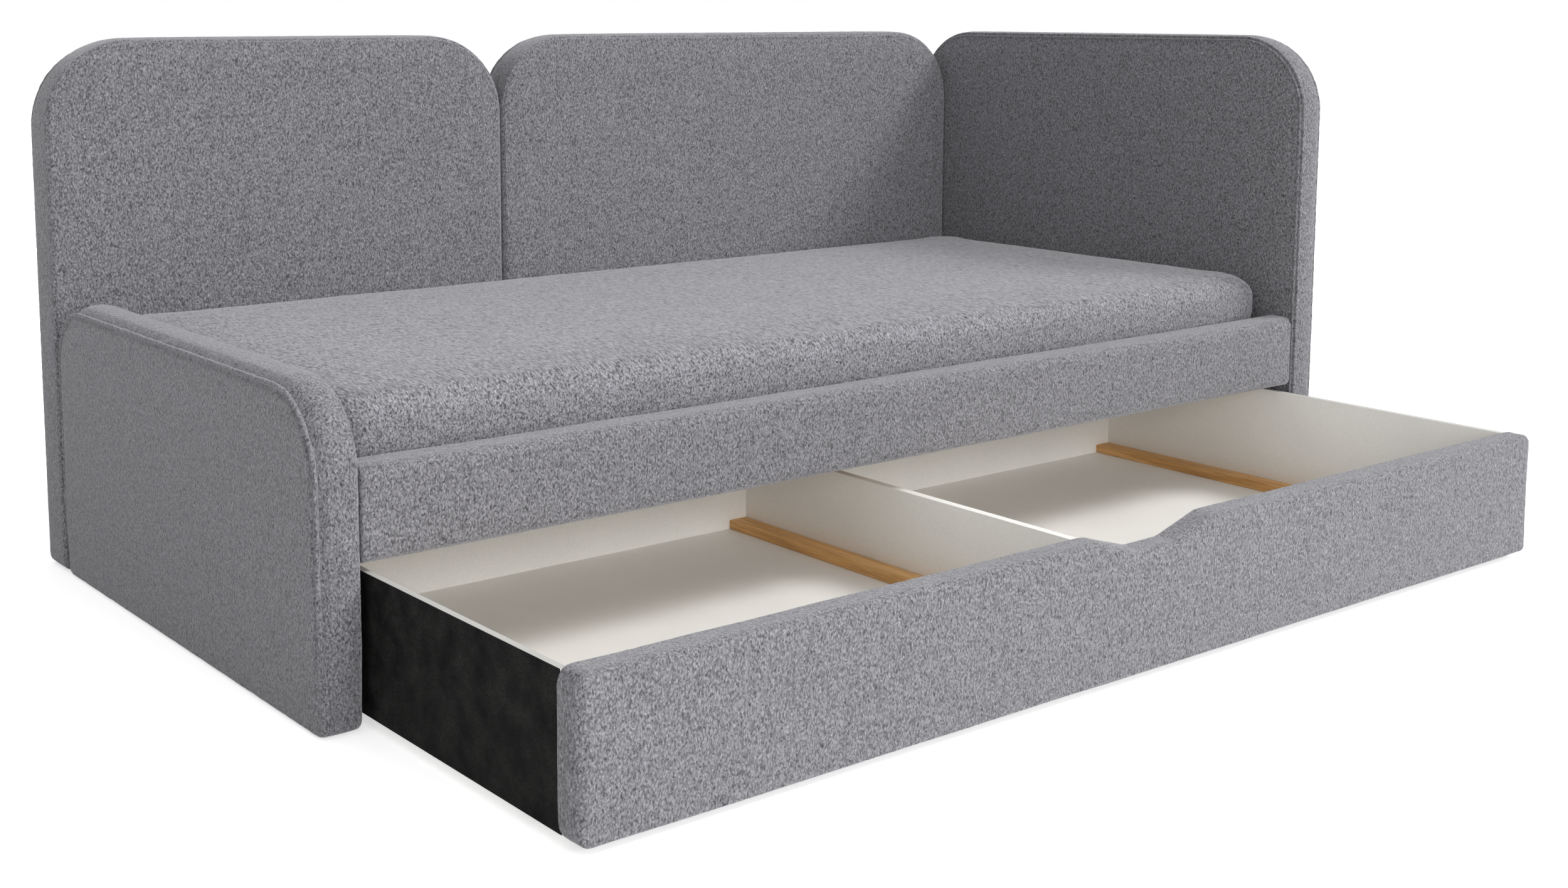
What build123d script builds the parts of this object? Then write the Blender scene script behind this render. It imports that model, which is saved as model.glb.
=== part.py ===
from build123d import *
from math import cos, radians, sin
import os

os.makedirs("parts", exist_ok=True)

# A child's upholstered daybed with a drawer that rolls out at the front, in millimetres.
# X runs along the bed from the low end to the tall end, Y from front to back, Z up.
# The drawer is drawn pulled out. The origin lies on the floor under the middle of the whole object.

# Lying place
mattress_length = 2000
mattress_width = 900
mattress_height = 150
mattress_corner = 45
mattress_end_gap = 5
mattress_side_gap = 2
mattress_sink = 68
mattress_draw = 12
mattress_edge = 40
mattress_crown = 6
mattress_crown_reach = 160

# Outer form of the upholstered pieces
end_thickness = 68
back_thickness = 90
rail_thickness = 64
front_thickness = 44
low_height = 468
tall_height = 905
rail_height = 138
front_height = 208
back_left_length = 880
low_corner = 120
tall_corner = 150
foot_corner = 24
front_corner = 18
seam_edge = 10
soft_edge = 20
rail_edge = 16
front_edge = 12
front_back_edge = 6

# Finger scoop in the top of the drawer front
scoop_width = 250
scoop_flat = 80
scoop_depth = 27
scoop_round = 45

# Upholstery build
cover_thickness = 3
cover_ease = 0.3
foam_wrap = 15
cover_slot = 28
slot_end = 60
panel_board = 18
front_board = 16
back_board_shift = 9
rail_board_shift = 10
front_board_shift = 5
front_foam_wrap = 9

# Gaps between the upholstered pieces
panel_gap = 0.6
rail_setback = 2
skirt_gap = 4
front_floor_gap = 14
rail_gap = 4
drawer_side_gap = 4

# Hidden carriers under the mattress
ledger_thickness = 25
ledger_height = 46
rear_rail_thickness = 28
slat_count = 13
slat_width = 68
slat_thickness = 18
slat_end_gap = 3
slat_first = 90
bracket_leg = 50
bracket_height = 40
bracket_thickness = 3
bracket_inner_hole = 15
bracket_outer_hole = 38
ledger_end_gap = 6
glide_radius = 11
glide_inset = 120

# Fasteners
bolt_radius = 4
bolt_head_radius = 6.5
bolt_head_height = 4
bolt_bite = 14
rail_bolt_length = 28
hole_clearance = 0.1
screw_radius = 2
screw_head_radius = 4
screw_head_height = 2
screw_bite = 25
slat_screw_length = 30
ledger_screw_count = 5

# Drawer box
drawer_pull = 506
drawer_back_gap = 9
box_overhang = 4
box_drop = 7
box_board = 10
box_skin = 1
divider_thickness = 15
divider_height = 151
floor_thickness = 3
batten_width = 38
batten_height = 17
screw_row_edge = 30

# Castors
wheel_radius = 7.5
wheel_width = 11
wheel_round = 1
wheel_top_gap = 0.5
axle_radius = 1.5
axle_clearance = 0.05
castor_inset = 90
castor_plate_length = 42
castor_plate_width = 24
castor_plate_thickness = 1.5
castor_cheek = 1.2
castor_side_play = 0.5
castor_cheek_length = 14
castor_cheek_gap = 3
castor_screw_pitch = 30
castor_screw_radius = 1.5
castor_screw_head_radius = 3
castor_screw_head_height = 1.2
castor_screw_length = 13

# Places along the bed
half_inner = mattress_length / 2 + mattress_end_gap
half_outer = half_inner + end_thickness
bed_length = 2 * half_outer

# Places across the bed
seat_depth = rail_setback + rail_thickness + mattress_width + 2 * mattress_side_gap
bed_depth = seat_depth + back_thickness
drawer_reach = drawer_pull - rail_setback
y_front = drawer_reach - (bed_depth + drawer_reach) / 2
y_back_face = y_front + seat_depth
y_rail_front = y_front + rail_setback
y_rail_back = y_rail_front + rail_thickness
y_rear_rail_back = y_back_face - panel_gap
y_rear_rail_front = y_rear_rail_back - rear_rail_thickness
y_mattress = y_rail_back + mattress_side_gap + mattress_width / 2

# Heights
wrap = cover_thickness + cover_ease
front_top = front_floor_gap + front_height
rail_bottom = front_top + rail_gap
rail_top = rail_bottom + rail_height
slat_top = rail_top - mattress_sink
ledger_top = slat_top - slat_thickness
ledger_bottom = ledger_top - ledger_height
ledger_middle = ledger_top - ledger_height / 2
board_bottom = skirt_gap + wrap

# Drawer places, pulled out
box_floor_gap = 2 * wheel_radius + wheel_top_gap + castor_plate_thickness
front_length = 2 * (half_inner - drawer_side_gap)
y_drawer_front = y_rail_front - drawer_pull
y_drawer_face = y_drawer_front + front_thickness
box_depth = y_back_face - drawer_back_gap - (y_rail_front + front_thickness)
y_box_back = y_drawer_face + box_depth
y_back_board = y_box_back - box_skin - box_board
box_half = front_length / 2 - box_overhang
box_inner_half = box_half - box_skin - box_board
box_top = front_top - box_drop
floor_top = box_floor_gap + floor_thickness


def keep(piece, name):
    """Label a finished piece and write it."""
    piece.part.label = name
    export_step(piece.part, f"parts/{name}.step")


def panel_outline(middle, length, top, corner, inset):
    """Upright rectangle with large top corners and small bottom corners, drawn in by an inset."""
    bottom = skirt_gap + inset
    with Locations((middle, (bottom + top - inset) / 2)):
        Rectangle(length - 2 * inset, top - inset - bottom)
    fillet(vertices().group_by(Axis.Y)[-1], radius=corner - inset)
    fillet(vertices().group_by(Axis.Y)[0], radius=foot_corner - inset)


def board_outline(middle, length, top, corner):
    """Board inside a panel, which reaches down to the opening under the cover."""
    inset = wrap + foam_wrap
    with Locations((middle, (board_bottom + top - inset) / 2)):
        Rectangle(length - 2 * inset, top - inset - board_bottom)
    fillet(vertices().group_by(Axis.Y)[-1], radius=corner - inset)
    fillet(vertices().group_by(Axis.Y)[0], radius=foot_corner - inset)


def front_outline(inset):
    """Drawer front with a finger scoop in its top edge, drawn in by an inset."""
    with Locations((0, front_floor_gap + front_height / 2)):
        Rectangle(front_length, front_height)
    fillet(vertices(), radius=front_corner)
    Polygon(
        (-scoop_width / 2, front_top),
        (-scoop_flat / 2, front_top - scoop_depth),
        (scoop_flat / 2, front_top - scoop_depth),
        (scoop_width / 2, front_top),
        align=None,
        mode=Mode.SUBTRACT,
    )
    fillet(vertices().filter_by(lambda v: abs(v.X) < scoop_width), radius=scoop_round)
    if inset:
        offset(amount=-inset)


def front_board_outline():
    """Board inside the drawer front, which reaches down to the opening under the cover."""
    inset = wrap + front_foam_wrap
    front_outline(inset)
    with Locations((0, front_floor_gap + wrap + front_height / 4)):
        Rectangle(front_length - 2 * inset, front_height / 2)
    fillet(vertices().group_by(Axis.Y)[0], radius=front_corner - inset)


def slab(plane, outline, thickness, front_rim, back_rim):
    """A cushion slab of one outline, centred on its plane, with both rims rounded."""
    across = Axis(plane.origin, plane.z_dir)
    with BuildPart() as cushion:
        with BuildSketch(plane):
            outline()
        extrude(amount=thickness / 2, both=True)
        fillet(cushion.faces().sort_by(across)[-1].edges(), radius=front_rim)
        fillet(cushion.faces().sort_by(across)[0].edges(), radius=back_rim)
    return cushion.part


def upholster(name, plane, outline, inner_outline, thickness, rims, board, shift, slot, holes):
    """Board, padding and sewn cover of one panel. The cover is open underneath, along a slot."""
    front_rim, back_rim = rims
    outside = slab(plane, lambda: outline(0), thickness, front_rim, back_rim)
    inside = slab(
        plane,
        lambda: outline(cover_thickness),
        thickness - 2 * cover_thickness,
        front_rim - cover_thickness,
        back_rim - cover_thickness,
    )
    filling = slab(
        plane, lambda: outline(wrap), thickness - 2 * wrap, front_rim - wrap, back_rim - wrap
    )
    slot_middle, slot_bottom, slot_length = slot

    with BuildPart() as core:
        with BuildSketch(plane.offset(-shift)):
            inner_outline()
        extrude(amount=board / 2, both=True)
        for hole in holes:
            add(hole, mode=Mode.SUBTRACT)
    keep(core, f"{name}_board")

    with BuildPart() as padding:
        add(filling)
        add(core.part, mode=Mode.SUBTRACT)
        for hole in holes:
            add(hole, mode=Mode.SUBTRACT)
    keep(padding, f"{name}_padding")

    with BuildPart() as cover:
        add(outside)
        add(inside, mode=Mode.SUBTRACT)
        with BuildSketch(plane.offset(-shift)):
            with Locations((slot_middle, slot_bottom)):
                Rectangle(slot_length, 2 * wrap)
        extrude(amount=cover_slot / 2, both=True, mode=Mode.SUBTRACT)
        for hole in holes:
            add(hole, mode=Mode.SUBTRACT)
    keep(cover, f"{name}_cover")


def fasteners(seats, head_radius, head_height, shank_radius, length):
    """One head and shank at each seat. A seat is a point and the way that its head faces."""
    with BuildPart() as group:
        with Locations(*[Plane(origin=point, z_dir=way) for point, way in seats]):
            Cylinder(head_radius, head_height, align=(Align.CENTER, Align.CENTER, Align.MIN))
            Cylinder(shank_radius, length, align=(Align.CENTER, Align.CENTER, Align.MAX))
    return group


def drills(seats, radius, length):
    """Holes for the shanks of the fasteners at the same seats."""
    with BuildPart() as group:
        with Locations(*[Plane(origin=point, z_dir=way) for point, way in seats]):
            Cylinder(radius + hole_clearance, length, align=(Align.CENTER, Align.CENTER, Align.MAX))
    return group.part


def recesses(seats, radius, height):
    """Pockets for fastener heads that are let in flush."""
    with BuildPart() as group:
        with Locations(*[Plane(origin=point, z_dir=way) for point, way in seats]):
            Cylinder(radius + hole_clearance, height, align=(Align.CENTER, Align.CENTER, Align.MIN))
    return group.part


def block(low, high):
    """A box from its low corner to its high corner."""
    size = [b - a for a, b in zip(low, high)]
    with BuildPart() as piece:
        with Locations(low):
            Box(*size, align=(Align.MIN, Align.MIN, Align.MIN))
    return piece


def bored(piece, holes):
    """The same piece with holes cut out of it."""
    with BuildPart() as result:
        add(piece.part)
        for hole in holes:
            add(hole, mode=Mode.SUBTRACT)
    return result


# Where the bolts and screws of the frame sit
sides = (-1, 1)
leg_holes = (bracket_inner_hole, bracket_outer_hole)
end_foam = (end_thickness - panel_board) / 2 - wrap
rail_foam = rail_thickness / 2 - rail_board_shift - panel_board / 2 - wrap
back_foam = back_thickness / 2 + back_board_shift - panel_board / 2 - wrap
end_bolt_length = bracket_thickness + wrap + end_foam + bolt_bite
back_bolt_length = rear_rail_thickness + panel_gap + wrap + back_foam + bolt_bite
ledger_screw_length = ledger_thickness + wrap + rail_foam + bolt_bite

end_bolt_seats = []
front_rail_bolt_seats = []
rear_rail_bolt_seats = []
for side in sides:
    for hole in leg_holes:
        end_x = side * (half_inner - bracket_thickness)
        rail_x = side * (half_inner - hole)
        front_leg_y = y_rail_back + hole
        rear_leg_y = y_rear_rail_front - hole
        end_bolt_seats.append(((end_x, front_leg_y, ledger_middle), (-side, 0, 0)))
        end_bolt_seats.append(((end_x, rear_leg_y, ledger_middle), (-side, 0, 0)))
        front_seat = (rail_x, y_rail_back + bracket_thickness, ledger_middle)
        rear_seat = (rail_x, y_rear_rail_front - bracket_thickness, ledger_middle)
        front_rail_bolt_seats.append((front_seat, (0, 1, 0)))
        rear_rail_bolt_seats.append((rear_seat, (0, -1, 0)))

x_split = back_left_length - half_outer
back_right_length = half_inner - panel_gap / 2 - x_split
back_left_middle = x_split - back_left_length / 2
back_right_middle = x_split + back_right_length / 2
back_bolt_seats = []
for middle, length in ((back_left_middle, back_left_length), (back_right_middle, back_right_length)):
    for side in sides:
        bolt_x = middle + side * length / 4
        back_bolt_seats.append(((bolt_x, y_rear_rail_front, ledger_middle), (0, -1, 0)))

ledger_half = half_inner - bracket_leg - ledger_end_gap
ledger_screw_seats = []
for index in range(ledger_screw_count):
    screw_x = ledger_half * (2 * (index + 0.5) / ledger_screw_count - 1)
    ledger_screw_seats.append(((screw_x, y_rail_back + ledger_thickness, ledger_middle), (0, 1, 0)))

slat_pitch = 2 * (half_inner - slat_first) / (slat_count - 1)
slat_middles = [-half_inner + slat_first + index * slat_pitch for index in range(slat_count)]
slat_screw_seats = []
for slat_x in slat_middles:
    for screw_y in (y_rail_back + ledger_thickness / 2, (y_rear_rail_front + y_rear_rail_back) / 2):
        slat_screw_seats.append(((slat_x, screw_y, slat_top - screw_head_height), (0, 0, 1)))

end_bolt_holes = drills(end_bolt_seats, bolt_radius, end_bolt_length)
front_rail_bolt_holes = drills(front_rail_bolt_seats, bolt_radius, rail_bolt_length)
rear_rail_bolt_holes = drills(rear_rail_bolt_seats, bolt_radius, rail_bolt_length)
back_bolt_holes = drills(back_bolt_seats, bolt_radius, back_bolt_length)
ledger_screw_holes = drills(ledger_screw_seats, screw_radius, ledger_screw_length)
slat_screw_holes = drills(slat_screw_seats, screw_radius, slat_screw_length)
slat_screw_pockets = recesses(slat_screw_seats, screw_head_radius, screw_head_height)

# End panels: the low end stops in front of the back, the tall end covers the end of the back
for name, side, length, height, corner, rims in (
    ("left_end", -1, seat_depth - panel_gap, low_height, low_corner, (soft_edge, seam_edge)),
    ("right_end", 1, bed_depth, tall_height, tall_corner, (seam_edge, soft_edge)),
):
    middle = y_front + length / 2
    upholster(
        name,
        Plane.YZ.offset(side * (half_inner + end_thickness / 2)),
        lambda inset: panel_outline(middle, length, height, corner, inset),
        lambda: board_outline(middle, length, height, corner),
        end_thickness,
        rims,
        panel_board,
        0,
        (middle, skirt_gap, length - 2 * slot_end),
        [end_bolt_holes],
    )

# Back panels
y_back_middle = y_back_face + back_thickness / 2
for name, middle, length in (
    ("back_left", back_left_middle, back_left_length),
    ("back_right", back_right_middle, back_right_length),
):
    upholster(
        name,
        Plane.XZ.offset(-y_back_middle),
        lambda inset: panel_outline(middle, length - panel_gap, tall_height, tall_corner, inset),
        lambda: board_outline(middle, length - panel_gap, tall_height, tall_corner),
        back_thickness,
        (soft_edge, seam_edge),
        panel_board,
        back_board_shift,
        (middle, skirt_gap, length - 2 * slot_end),
        [back_bolt_holes],
    )

# Front rail, a padded board in a sleeve between the end panels
rail_length = 2 * (half_inner - panel_gap)
rail_middle = (y_rail_front + y_rail_back) / 2
rail_centre = (rail_middle, rail_bottom + rail_height / 2)
rail_inset = 2 * (wrap + foam_wrap)
rail_holes = [front_rail_bolt_holes, ledger_screw_holes]

with BuildPart() as rail_board:
    with BuildSketch(Plane.YZ):
        with Locations((rail_middle + rail_board_shift, rail_centre[1])):
            Rectangle(panel_board, rail_height - rail_inset)
    extrude(amount=rail_length / 2, both=True)
    for hole in rail_holes:
        add(hole, mode=Mode.SUBTRACT)
keep(rail_board, "front_rail_board")

with BuildPart() as rail_padding:
    with BuildSketch(Plane.YZ):
        with Locations(rail_centre):
            RectangleRounded(rail_thickness - 2 * wrap, rail_height - 2 * wrap, rail_edge - wrap)
    extrude(amount=rail_length / 2, both=True)
    add(rail_board.part, mode=Mode.SUBTRACT)
    for hole in rail_holes:
        add(hole, mode=Mode.SUBTRACT)
keep(rail_padding, "front_rail_padding")

with BuildPart() as rail_cover:
    with BuildSketch(Plane.YZ):
        with Locations(rail_centre):
            RectangleRounded(rail_thickness, rail_height, rail_edge)
            RectangleRounded(
                rail_thickness - 2 * cover_thickness,
                rail_height - 2 * cover_thickness,
                rail_edge - cover_thickness,
                mode=Mode.SUBTRACT,
            )
    extrude(amount=rail_length / 2, both=True)
    for hole in rail_holes:
        add(hole, mode=Mode.SUBTRACT)
keep(rail_cover, "front_rail_cover")

# Ledger, rear rail and slats that carry the mattress
ledger_low = (-ledger_half, y_rail_back, ledger_bottom)
ledger_high = (ledger_half, y_rail_back + ledger_thickness, ledger_top)
front_ledger = bored(block(ledger_low, ledger_high), [ledger_screw_holes, slat_screw_holes])
keep(front_ledger, "front_ledger")

rear_low = (-rail_length / 2, y_rear_rail_front, ledger_bottom)
rear_high = (rail_length / 2, y_rear_rail_back, ledger_top)
rear_rail = bored(block(rear_low, rear_high), [rear_rail_bolt_holes, back_bolt_holes, slat_screw_holes])
keep(rear_rail, "rear_rail")

slat_low_y = y_rail_back + slat_end_gap
slat_high_y = y_rear_rail_back - slat_end_gap
with BuildPart() as base_slats:
    with Locations(*[(slat_x, (slat_low_y + slat_high_y) / 2, ledger_top) for slat_x in slat_middles]):
        Box(
            slat_width,
            slat_high_y - slat_low_y,
            slat_thickness,
            align=(Align.CENTER, Align.CENTER, Align.MIN),
        )
    add(slat_screw_holes, mode=Mode.SUBTRACT)
    add(slat_screw_pockets, mode=Mode.SUBTRACT)
keep(base_slats, "base_slats")

# Steel brackets in the four inner corners
with BuildPart() as corner_brackets:
    for side in sides:
        for corner_y, turn in ((y_rail_back, 1), (y_rear_rail_front, -1)):
            with BuildSketch(Plane.XY.offset(ledger_middle - bracket_height / 2)):
                with BuildLine():
                    Polyline(
                        (side * half_inner, corner_y),
                        (side * (half_inner - bracket_leg), corner_y),
                        (side * (half_inner - bracket_leg), corner_y + turn * bracket_thickness),
                        (side * (half_inner - bracket_thickness), corner_y + turn * bracket_thickness),
                        (side * (half_inner - bracket_thickness), corner_y + turn * bracket_leg),
                        (side * half_inner, corner_y + turn * bracket_leg),
                        close=True,
                    )
                make_face()
            extrude(amount=bracket_height)
    for hole in (end_bolt_holes, front_rail_bolt_holes, rear_rail_bolt_holes):
        add(hole, mode=Mode.SUBTRACT)
keep(corner_brackets, "corner_brackets")

# Bolts and screws of the frame
bolt_head = (bolt_head_radius, bolt_head_height, bolt_radius)
screw_head = (screw_head_radius, screw_head_height, screw_radius)
keep(fasteners(end_bolt_seats, *bolt_head, end_bolt_length), "bracket_bolts")
keep(fasteners(front_rail_bolt_seats + rear_rail_bolt_seats, *bolt_head, rail_bolt_length), "rail_bolts")
keep(fasteners(back_bolt_seats, *bolt_head, back_bolt_length), "back_panel_bolts")
keep(fasteners(ledger_screw_seats, *screw_head, ledger_screw_length), "ledger_screws")
keep(fasteners(slat_screw_seats, *screw_head, slat_screw_length), "slat_screws")

# Glides under the boards of the end and back panels
glide_points = []
for side in sides:
    for glide_y in (y_front + glide_inset, y_back_face - glide_inset):
        glide_points.append((side * (half_inner + end_thickness / 2), glide_y))
for middle, length in ((back_left_middle, back_left_length), (back_right_middle, back_right_length)):
    for side in sides:
        glide_points.append((middle + side * (length / 2 - glide_inset), y_back_middle + back_board_shift))
with BuildPart() as floor_glides:
    with BuildSketch(Plane.XY):
        with Locations(*glide_points):
            Circle(glide_radius)
    extrude(amount=board_bottom)
keep(floor_glides, "floor_glides")


def mattress_form(inset, bottom):
    """Crowned mattress with drawn-in sides, as a ruled loft through rounded rectangles."""
    low = slat_top + bottom
    edge = mattress_edge - inset
    crown_start = slat_top + mattress_height - mattress_crown - inset
    steps = []
    for share in (0, 0.35, 0.7, 1):
        steps.append((low + share * (crown_start - edge - low), mattress_draw * (1 - share) ** 2))
    for angle in (20, 40, 60, 80):
        turn = radians(angle)
        steps.append((crown_start - edge + edge * sin(turn), edge * (1 - cos(turn))))
    for share in (0.1, 0.4, 0.7, 1):
        rise = mattress_crown * (1 - (1 - share) ** 2)
        steps.append((crown_start + rise, edge + share * mattress_crown_reach))
    with BuildPart() as form:
        for height, draw in steps:
            with BuildSketch(Plane.XY.offset(height)):
                with Locations((0, y_mattress)):
                    RectangleRounded(
                        mattress_length - 2 * (inset + draw),
                        mattress_width - 2 * (inset + draw),
                        mattress_corner - inset,
                    )
        loft(ruled=True)
    return form.part


# Mattress: cover over the top and sides, underside panel, foam core
mattress_outside = mattress_form(0, 0)
mattress_inside = mattress_form(cover_thickness, 0)
mattress_filling = mattress_form(wrap, cover_thickness)

with BuildPart() as mattress_cover:
    add(mattress_outside)
    add(mattress_inside, mode=Mode.SUBTRACT)
keep(mattress_cover, "mattress_cover")

underside_inset = wrap + mattress_draw
with BuildPart() as mattress_underside:
    with BuildSketch(Plane.XY.offset(slat_top)):
        with Locations((0, y_mattress)):
            RectangleRounded(
                mattress_length - 2 * underside_inset,
                mattress_width - 2 * underside_inset,
                mattress_corner - wrap,
            )
    extrude(amount=cover_thickness)
keep(mattress_underside, "mattress_underside")

with BuildPart() as mattress_core:
    add(mattress_filling)
keep(mattress_core, "mattress_core")

# Where the screws of the drawer sit
side_middle = box_inner_half + box_board / 2
row_heights = (box_floor_gap + screw_row_edge, (box_floor_gap + box_top) / 2, box_top - screw_row_edge)
divider_top = box_floor_gap + divider_height
divider_rows = (box_floor_gap + screw_row_edge, divider_top - screw_row_edge)
y_front_middle = y_drawer_front + front_thickness / 2
y_front_board = y_front_middle + front_board_shift - front_board / 2
front_screw_length = y_drawer_face - y_front_board - screw_head_height + screw_bite
box_screw_length = box_board - screw_head_height + screw_bite

front_screw_seats = []
box_screw_seats = []
for side in sides:
    for row in row_heights:
        front_seat = (side * side_middle, y_front_board + screw_head_height, row)
        back_seat = (side * side_middle, y_back_board + box_board - screw_head_height, row)
        front_screw_seats.append((front_seat, (0, -1, 0)))
        box_screw_seats.append((back_seat, (0, 1, 0)))
for row in divider_rows:
    box_screw_seats.append(((0, y_back_board + box_board - screw_head_height, row), (0, 1, 0)))

front_screw_holes = drills(front_screw_seats, screw_radius, front_screw_length)
front_screw_pockets = recesses(front_screw_seats, screw_head_radius, screw_head_height)
box_screw_holes = drills(box_screw_seats, screw_radius, box_screw_length)
box_screw_pockets = recesses(box_screw_seats, screw_head_radius, screw_head_height)

# Castor places: under the outer battens and the left batten of the divider, near front and back
castor_columns = (
    -box_inner_half + batten_width / 2,
    -(divider_thickness + batten_width) / 2,
    box_inner_half - batten_width / 2,
)
castor_rows = (("front", y_drawer_face + castor_inset), ("rear", y_back_board - castor_inset))
plate_bottom = box_floor_gap - castor_plate_thickness
cheek_offset = wheel_width / 2 + castor_side_play + castor_cheek / 2
axle_length = wheel_width + 2 * (castor_side_play + castor_cheek)
castor_points = [(x, y) for x in castor_columns for row, y in castor_rows]
castor_screw_seats = []
for x, y in castor_points:
    for side in sides:
        castor_screw_seats.append(((x, y + side * castor_screw_pitch / 2, plate_bottom), (0, 0, -1)))
castor_screw_holes = drills(castor_screw_seats, castor_screw_radius, castor_screw_length)

# Padded drawer front
upholster(
    "drawer_front",
    Plane.XZ.offset(-y_front_middle),
    front_outline,
    front_board_outline,
    front_thickness,
    (front_edge, front_back_edge),
    front_board,
    front_board_shift,
    (0, front_floor_gap, front_length - 2 * slot_end),
    [front_screw_holes, front_screw_pockets],
)

# Drawer sides, back, divider and floor
for name, side in (("left", -1), ("right", 1)):
    inner_x = side * box_inner_half
    outer_x = side * (box_inner_half + box_board)
    skin_x = side * box_half
    side_low = (min(inner_x, outer_x), y_drawer_face, box_floor_gap)
    side_high = (max(inner_x, outer_x), y_back_board, box_top)
    skin_low = (min(outer_x, skin_x), y_drawer_face, box_floor_gap)
    skin_high = (max(outer_x, skin_x), y_back_board + box_board, box_top)
    keep(bored(block(side_low, side_high), [front_screw_holes, box_screw_holes]), f"drawer_{name}_side")
    keep(block(skin_low, skin_high), f"drawer_{name}_lining")

back_low = (-box_half + box_skin, y_back_board, box_floor_gap)
back_high = (box_half - box_skin, y_back_board + box_board, box_top)
keep(bored(block(back_low, back_high), [box_screw_holes, box_screw_pockets]), "drawer_back")

back_lining_low = (-box_half, y_back_board + box_board, box_floor_gap)
keep(block(back_lining_low, (box_half, y_box_back, box_top)), "drawer_back_lining")

divider_low = (-divider_thickness / 2, y_drawer_face, box_floor_gap)
divider_high = (divider_thickness / 2, y_back_board, divider_top)
keep(bored(block(divider_low, divider_high), [box_screw_holes]), "drawer_divider")

for name, low_x, high_x in (
    ("left", -box_inner_half, -divider_thickness / 2),
    ("right", divider_thickness / 2, box_inner_half),
):
    floor_low = (low_x, y_drawer_face, box_floor_gap)
    floor_high = (high_x, y_back_board, floor_top)
    keep(bored(block(floor_low, floor_high), [castor_screw_holes]), f"drawer_{name}_floor")

# Battens at the foot of the sides and of the divider
for name, low_x in (
    ("left_side", -box_inner_half),
    ("divider_left", -divider_thickness / 2 - batten_width),
    ("divider_right", divider_thickness / 2),
    ("right_side", box_inner_half - batten_width),
):
    batten_low = (low_x, y_drawer_face, floor_top)
    batten_high = (low_x + batten_width, y_back_board, floor_top + batten_height)
    keep(bored(block(batten_low, batten_high), [castor_screw_holes]), f"{name}_batten")

keep(fasteners(front_screw_seats, *screw_head, front_screw_length), "drawer_front_screws")
keep(fasteners(box_screw_seats, *screw_head, box_screw_length), "drawer_box_screws")

# Low fixed castors: sheet housing with two cheeks, axle, wheel and screws
axle_seats = [Plane(origin=(x, y, wheel_radius), z_dir=(1, 0, 0)) for x, y in castor_points]
cheek_points = [(x + side * cheek_offset, y, plate_bottom) for x, y in castor_points for side in sides]
with BuildPart() as castor_housings:
    with Locations(*[(x, y, box_floor_gap) for x, y in castor_points]):
        Box(
            castor_plate_width,
            castor_plate_length,
            castor_plate_thickness,
            align=(Align.CENTER, Align.CENTER, Align.MAX),
        )
    with Locations(*cheek_points):
        Box(
            castor_cheek,
            castor_cheek_length,
            plate_bottom - castor_cheek_gap,
            align=(Align.CENTER, Align.CENTER, Align.MAX),
        )
    with Locations(*axle_seats):
        Cylinder(axle_radius + axle_clearance, castor_plate_width, mode=Mode.SUBTRACT)
    add(castor_screw_holes, mode=Mode.SUBTRACT)
keep(castor_housings, "castor_housings")

with BuildPart() as castor_axles:
    with Locations(*axle_seats):
        Cylinder(axle_radius, axle_length)
keep(castor_axles, "castor_axles")

castor_head = (castor_screw_head_radius, castor_screw_head_height, castor_screw_radius)
keep(fasteners(castor_screw_seats, *castor_head, castor_screw_length), "castor_screws")

for column, x in zip(("left", "middle", "right"), castor_columns):
    for row, y in castor_rows:
        with BuildPart() as wheel:
            with Locations(Plane(origin=(x, y, wheel_radius), z_dir=(1, 0, 0))):
                Cylinder(wheel_radius, wheel_width)
            fillet(wheel.edges().filter_by(GeomType.CIRCLE), radius=wheel_round)
            with Locations(Plane(origin=(x, y, wheel_radius), z_dir=(1, 0, 0))):
                Cylinder(axle_radius + axle_clearance, wheel_width, mode=Mode.SUBTRACT)
        keep(wheel, f"wheel_{row}_{column}")
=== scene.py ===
import math

import bmesh
import bpy
import numpy as np
from mathutils import Matrix, Vector, noise


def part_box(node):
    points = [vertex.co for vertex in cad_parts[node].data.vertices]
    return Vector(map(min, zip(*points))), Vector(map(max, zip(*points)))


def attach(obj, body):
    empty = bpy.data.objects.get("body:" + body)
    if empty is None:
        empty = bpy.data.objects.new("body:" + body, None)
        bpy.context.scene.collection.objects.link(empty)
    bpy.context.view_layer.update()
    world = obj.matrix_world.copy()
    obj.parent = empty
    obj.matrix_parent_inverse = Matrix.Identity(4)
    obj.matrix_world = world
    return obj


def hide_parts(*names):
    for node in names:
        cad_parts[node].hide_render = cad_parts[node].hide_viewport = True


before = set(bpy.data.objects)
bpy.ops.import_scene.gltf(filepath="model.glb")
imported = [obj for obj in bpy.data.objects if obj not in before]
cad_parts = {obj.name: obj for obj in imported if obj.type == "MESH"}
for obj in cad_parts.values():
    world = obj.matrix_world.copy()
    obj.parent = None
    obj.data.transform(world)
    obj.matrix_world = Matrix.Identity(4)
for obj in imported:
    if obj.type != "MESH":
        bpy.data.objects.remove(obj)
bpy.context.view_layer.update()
scene = bpy.context.scene

# All lengths in metres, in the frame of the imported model.
MM = 0.001

# Forms of the upholstery, as in the solids
LOW_CORNER = 0.120
TALL_CORNER = 0.150
FOOT_CORNER = 0.024
SCOOP_WIDTH = 0.250
SCOOP_FLAT = 0.080
SCOOP_DEPTH = 0.027
MATTRESS_CORNER = 0.042
MATTRESS_EDGE = 0.040
MATTRESS_DRAW = 0.012
MATTRESS_CROWN = 0.006
FACE_IN = 0.004
FOOT_SAG = 0.0025

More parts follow.
